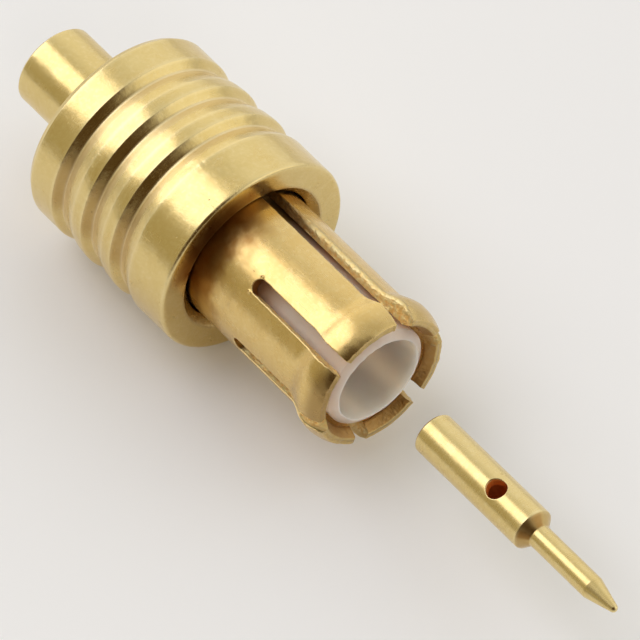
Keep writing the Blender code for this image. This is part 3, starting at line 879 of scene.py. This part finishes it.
# ----------------------------------------------------------- centre contact
def contact_piece():
    b = Build()
    nose = TIP_END_S - POINT_R
    slope = math.atan2(PIN_R - POINT_R, nose - TAPER_S)
    tip = [(nose + POINT_R * math.sin(a), POINT_R * math.cos(a))
           for a in np.linspace(0.5 * math.pi, slope, 9)][1:]
    line = rounded([(nose, POINT_R, 0.0), (TAPER_S, PIN_R, 0.06),
                    (SHOULDER_S + SHOULDER_RUN, PIN_R, 0.05),
                    (SHOULDER_S, CUP_R, 0.045), (CUP_S + 0.04, CUP_R, 0.03),
                    (CUP_S, CUP_R - 0.04, 0.02), (CUP_S, SOLDER_R + 0.06, 0.0)], 7, False)
    line = tip + line[1:]

    def step(s, r):
        if abs(s - CROSS_S) < 0.40 and r > 0.4:
            return 0.02
        return 0.06
    # put rows exactly on the two sides of the field round the cross hole
    half = 0.36
    full = []
    for a, q in zip(line[:-1], line[1:]):
        full.append(a)
        for cut in (CROSS_S + half, CROSS_S - half):
            if a[0] > cut > q[0] and min(a[1], q[1]) > 0.5:
                t = (a[0] - cut) / (a[0] - q[0])
                full.append((cut, a[1] + (q[1] - a[1]) * t))
    full.append(line[-1])
    pts = np.array(densify(full, step, False))
    cols = 240
    phi = CROSS_PHI + np.arange(cols) / cols * 2 * math.pi - math.pi
    s0, r0 = pts[:, 0][:, None], pts[:, 1][:, None]
    near = np.exp(-(np.hypot(s0 - SHOULDER_S, r0 - CUP_R) / 0.045) ** 2) \
        + np.exp(-(np.hypot(s0 - CUP_S - 0.02, r0 - CUP_R + 0.02) / 0.05) ** 2) \
        + np.exp(-((s0 - TIP_END_S) / 0.08) ** 2)
    near = np.clip(near, 0, 1)
    u = np.broadcast_to(phi[None] / (2 * math.pi), (len(pts), cols))
    v = np.broadcast_to((s0 - 6.4) / 6.5, (len(pts), cols))
    d = 0.0007 * layered(u, v, 8, 26, 101, 3, 0.5) * (r0 > 0.15)
    for ds, dp, w, depth in ((6.86, -63, 0.045, 0.010), (7.15, -40, 0.05, 0.003),
                             (8.1, 24, 0.04, 0.003), (7.6, -8, 0.03, 0.003)):
        a = (np.degrees(phi)[None] - dp + 180.0) % 360.0 - 180.0
        d = d - depth * np.exp(-(((s0 - ds) ** 2 + (np.radians(a) * CUP_R) ** 2) / w ** 2))
    shape = (len(pts), cols)
    # painted reflection: brown on the cone of the shoulder, deeper on angle bands where it stands in for dark
    # reflections
    a = np.degrees(phi)[None]
    cone = np.clip((s0 - SHOULDER_S + 0.01) / 0.03, 0, 1) \
        * np.clip((SHOULDER_S + SHOULDER_RUN + 0.03 - s0) / 0.04, 0, 1)
    painted_shade_amount = cone * (0.35 + 0.20 * window(a, -100.0, 55.0, 20.0) + 0.40 * window(a, -50.0, -22.0, 18.0)
                   + 0.28 * window(a, 18.0, 50.0, 18.0))
    idx = b.verts(place(np.broadcast_to(s0, shape), r0 + d, np.broadcast_to(phi[None], shape)),
                  edge=np.broadcast_to(near, shape), stain=np.broadcast_to(painted_shade_amount, shape)).reshape(shape)
    apex = b.verts(place(np.array([TIP_END_S]), np.array([0.0]), np.array([0.0])))[0]
    b.fan(apex, idx[0][::-1])

    # outer field round the cross hole: rows i0..i1, columns j0..j1
    on_cup = pts[:, 1] > CUP_R - 1e-6
    i0 = int(np.argmin(np.abs(pts[:, 0] - (CROSS_S + half)) + 10 * ~on_cup))
    i1 = int(np.argmin(np.abs(pts[:, 0] - (CROSS_S - half)) + 10 * ~on_cup))
    ncell = 2 * round(half / CUP_R / (2 * math.pi / cols))
    j0 = cols // 2 - ncell // 2
    j1 = j0 + ncell
    keep = np.ones(shape, bool)
    keep[i0:i1, j0:j1] = False
    b.grid(idx, wrap_cols=True, keep=keep)

    def rim(i0, i1, j0, j1):
        out = [(i0, j) for j in range(j0, j1)]
        out += [(i, j1) for i in range(i0, i1)]
        out += [(i1, j) for j in range(j1, j0, -1)]
        out += [(i, j0) for i in range(i1, i0, -1)]
        return out

    loop = rim(i0, i1, j0, j1)
    su = np.array([(phi[j] - CROSS_PHI) * CUP_R for i, j in loop])
    sv = np.array([pts[i, 0] - CROSS_S for i, j in loop])
    t = np.arctan2(su, sv)
    lip = 0.022
    big = CROSS_R + lip
    prev = np.array([idx[i, j] for i, j in loop])
    hu = CUP_R * np.arcsin(big * np.sin(t) / CUP_R)
    hv = big * np.cos(t)
    n_loop = len(loop)

    def ring(ids_a, ids_b):
        b.quad(ids_a, np.roll(ids_a, -1), np.roll(ids_b, -1), ids_b)

    for f in np.linspace(0, 1, 9)[1:]:
        g = 1 - (1 - f) ** 1.4
        uu, vv = su + (hu - su) * g, sv + (hv - sv) * g
        cur = b.verts(place(CROSS_S + vv, np.full(n_loop, CUP_R), CROSS_PHI + uu / CUP_R),
                      edge=np.full(n_loop, 0.0 if f < 0.99 else 0.5))
        ring(prev, cur)
        prev = cur
    wob = 1 + 0.006 * np.sin(3 * t + 0.7) + 0.004 * np.sin(7 * t)
    for a in np.linspace(0, 0.5 * math.pi, 7)[1:]:
        rad = CROSS_R * wob + lip * (1 - math.sin(a))
        side = rad * np.sin(t)
        height = np.sqrt(CUP_R ** 2 - side ** 2) - lip * (1 - math.cos(a))
        cur = b.verts(place_xy(CROSS_S + rad * np.cos(t), side, height, CROSS_PHI),
                      edge=np.full(n_loop, 0.8))
        ring(prev, cur)
        prev = cur
    # down the wall of the hole to the solder bore
    rad = CROSS_R * 0.985
    top_h = np.sqrt(CUP_R ** 2 - (CROSS_R * wob * np.sin(t)) ** 2) - lip
    low_h = np.sqrt(SOLDER_R ** 2 - (rad * np.sin(t)) ** 2)
    # painted reflection: the hole wall gets the orange-brown hole colour
    for f in np.linspace(0, 1, 8)[1:]:
        rr = CROSS_R * wob + (rad - CROSS_R * wob) * f
        cur = b.verts(place_xy(CROSS_S + rr * np.cos(t), rr * np.sin(t),
                               top_h + (low_h - top_h) * f, CROSS_PHI),
                      cut=np.full(n_loop, 0.5), deep=np.full(n_loop, 1.0))
        ring(prev, cur)
        prev = cur
    hole_low = prev

    # solder bore: its own grid with a matching field of the same size
    bcols = 96
    bphi = CROSS_PHI + np.arange(bcols) / bcols * 2 * math.pi - math.pi
    rows_s = [CUP_S + 0.05] + list(np.linspace(CUP_S + 0.3, CROSS_S - half - 0.15, 8))
    field = [pts[i, 0] for i in range(i1, i0 - 1, -1)]
    n_field = len(field) - 1
    rows_s += field
    rows_s += [CUP_S + SOLDER_DEPTH - 0.02 + 0.02]
    if rows_s[-2] >= rows_s[-1]:
        rows_s[-1] = rows_s[-2] + 0.04
    rows_s = np.array(rows_s)
    bshape = (len(rows_s), bcols)
    # painted reflection: the solder bore gets the same orange-brown hole colour
    bidx = b.verts(place(np.broadcast_to(rows_s[:, None], bshape), np.full(bshape, SOLDER_R),
                         np.broadcast_to(bphi[None], bshape)), cut=0.3, deep=1.0).reshape(bshape)
    k0 = len(rows_s) - 2 - n_field            # row of the field's rear side
    k1 = len(rows_s) - 2                      # row of its front side
    q0 = bcols // 2 - ncell // 2
    q1 = q0 + ncell
    bkeep = np.ones(bshape, bool)
    bkeep[k0:k1, q0:q1] = False
    # seen from inside, the bore's faces run the other way
    b.grid(bidx, wrap_cols=True, keep=bkeep)
    bloop = []
    for i, j in loop:
        bloop.append(bidx[k1 - (i - i0), q0 + (j - j0)])
    bloop = np.array(bloop)
    bu = np.array([(j - cols // 2) * (2 * math.pi / bcols) for i, j in loop])
    bv = sv
    eu = np.arcsin(rad * np.sin(t) / SOLDER_R)
    ev = rad * np.cos(t)
    prev = hole_low
    for f in np.linspace(0, 1, 6)[1:-1]:
        uu, vv = eu + (bu - eu) * f, ev + (bv - ev) * f
        cur = b.verts(place(CROSS_S + vv, np.full(n_loop, SOLDER_R), CROSS_PHI + uu),
                      cut=0.3, deep=1.0)
        ring(prev, cur)
        prev = cur
    ring(prev, bloop)
    end_c = b.verts(place(np.array([rows_s[-1] + 0.12]), np.array([0.0]), np.array([0.0])))[0]
    b.fan(end_c, bidx[-1])
    mouth = b.verts(place(np.full(bcols, CUP_S), np.full(bcols, SOLDER_R + 0.03), bphi))
    b.quad(mouth, np.roll(mouth, -1), np.roll(bidx[0], -1), bidx[0])
    b.zipper(list(idx[-1]), list(phi), list(mouth), list(bphi))
    return b.finish("pin_contact", gold_pin)


shell = shell_piece()
collet = collet_piece()
core = insulator_piece()
pin = contact_piece()

for obj, body, node, slot in ((shell, "plug_body", "body_shell", "gold_body"),
                              (collet, "plug_body", "spring_collet", "gold_spring"),
                              (core, "plug_body", "insulator", "white_insulator"),
                              (pin, "contact_body", "centre_contact", "gold_pin")):
    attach(obj, body)
    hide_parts(node)


# --------------------------------------------------------------- floor, light
def make_floor():
    mesh = bpy.data.meshes.new("floor")
    h = 3.0
    n = 24
    co, faces = [], []
    for i in range(n + 1):
        for j in range(n + 1):
            co.append((-h + 2 * h * i / n, -h + 2 * h * j / n, -4.0e-6))
    for i in range(n):
        for j in range(n):
            a = i * (n + 1) + j
            faces.append((a, a + n + 1, a + n + 2, a + 1))
    mesh.from_pydata(co, [], faces)
    obj = bpy.data.objects.new("floor", mesh)
    bpy.context.scene.collection.objects.link(obj)
    mat, bsdf, g = new_material("pale_floor", (0.93, 0.93, 0.925), 0.0, 0.75)
    bsdf.inputs["Specular IOR Level"].default_value = 0.15
    # the pale sheet round the object gives way to a greyer table further out
    tc = g.node("ShaderNodeTexCoord")
    away = g.vmath("LENGTH", tc.outputs["Object"])
    side = g.vmath("DOT_PRODUCT", tc.outputs["Object"], (0.782, -0.623, 0.0))
    left = g.vmath("DOT_PRODUCT", tc.outputs["Object"], (-0.78, 0.626, 0.0))
    table = g.mix(g.ramp(left, 0.010, 0.080), (0.50, 0.49, 0.46, 1.0), (0.74, 0.73, 0.70, 1.0))
    col = g.mix(g.ramp(away, 0.022, 0.075), (0.93, 0.93, 0.925, 1.0), table)
    col = g.mix(g.ramp(side, 0.0085, 0.020), col, (0.42, 0.40, 0.36, 1.0))
    g.link(col, bsdf.inputs["Base Color"])
    mesh.materials.append(mat)
    return obj


floor = make_floor()


def make_world():
    world = bpy.data.worlds.new("studio")
    bpy.context.scene.world = world
    world.use_nodes = True
    tree = world.node_tree
    g = Graph(tree)
    bg = tree.nodes["Background"]
    tc = g.node("ShaderNodeTexCoord")
    way = g.vmath("NORMALIZE", tc.outputs["Generated"])

    def lobe(direction, inner, outer):
        d = Vector(direction).normalized()
        dot = g.vmath("DOT_PRODUCT", way, tuple(d))
        return g.ramp(dot, math.cos(math.radians(outer)), math.cos(math.radians(inner)))

    col = g.mix(1.0, (0, 0, 0, 1), (0.68, 0.67, 0.61, 1.0))
    col = g.mix(lobe((-0.35, 0.80, 0.48), 8, 50), col, (1.00, 1.00, 1.00, 1.0))
    col = g.mix(lobe((-0.84, 0.48, 0.20), 8, 27), col, (1.12, 1.10, 1.02, 1.0))
    col = g.mix(lobe((-0.40, -0.90, 0.14), 12, 42), col, (0.48, 0.43, 0.28, 1.0))
    col = g.mix(lobe((0.70, -0.50, 0.42), 36, 56), col, (0.085, 0.05, 0.018, 1.0))
    col = g.mix(lobe((0.68, 0.66, 0.30), 12, 42), col, (1.14, 1.12, 1.05, 1.0))
    g.link(col, bg.inputs["Color"])
    bg.inputs["Strength"].default_value = 1.0
    world.cycles.sampling_method = "MANUAL"
    world.cycles.sample_map_resolution = 1024


make_world()


def softbox(name, direction, distance, width, height, long_axis, energy, colour):
    light = bpy.data.lights.new(name, "AREA")
    light.shape = "RECTANGLE"
    light.size = width
    light.size_y = height
    light.energy = energy
    light.color = colour
    obj = bpy.data.objects.new(name, light)
    z = Vector(direction).normalized()
    y = Vector(long_axis)
    y = (y - z * y.dot(z)).normalized()
    x = y.cross(z).normalized()
    m = Matrix((x, y, z)).transposed().to_4x4()
    m.translation = z * distance
    obj.matrix_world = m
    bpy.context.scene.collection.objects.link(obj)
    return obj


key = softbox("key_softbox", (-0.676, -0.2868, 0.679), 0.35, 0.25, 0.52,
              (1.0, 0.0, 0.0), 0.55, (1.0, 0.99, 1.12))

fill = softbox("fill_softbox", (0.66, -0.38, 0.66), 0.35, 0.12, 0.12,
               (0.0, 1.0, 0.0), 0.120, (1.0, 0.95, 0.92))
fill.visible_glossy = False

# ------------------------------------------------------------------- camera
cam_data = bpy.data.cameras.new("camera")
cam_data.lens = 714.0
cam_data.sensor_width = 36.0
cam_data.clip_start = 0.01
cam_data.clip_end = 20.0
cam = bpy.data.objects.new("camera", cam_data)
bpy.context.scene.collection.objects.link(cam)
az, el = math.radians(51.35), math.radians(50.92)
back = Vector((math.sin(az) * math.cos(el), -math.cos(az) * math.cos(el), math.sin(el)))
target = Vector((-0.40, 0.045, 2.570)) * MM
cam.location = target + back * 0.280
cam.rotation_mode = "QUATERNION"
cam.rotation_quaternion = (-back).to_track_quat("-Z", "Y")
bpy.context.scene.camera = cam

bpy.context.scene.view_settings.view_transform = "Standard"
bpy.context.scene.view_settings.look = "None"
bpy.context.scene.view_settings.exposure = 0.0
bpy.context.scene.view_settings.gamma = 1.0
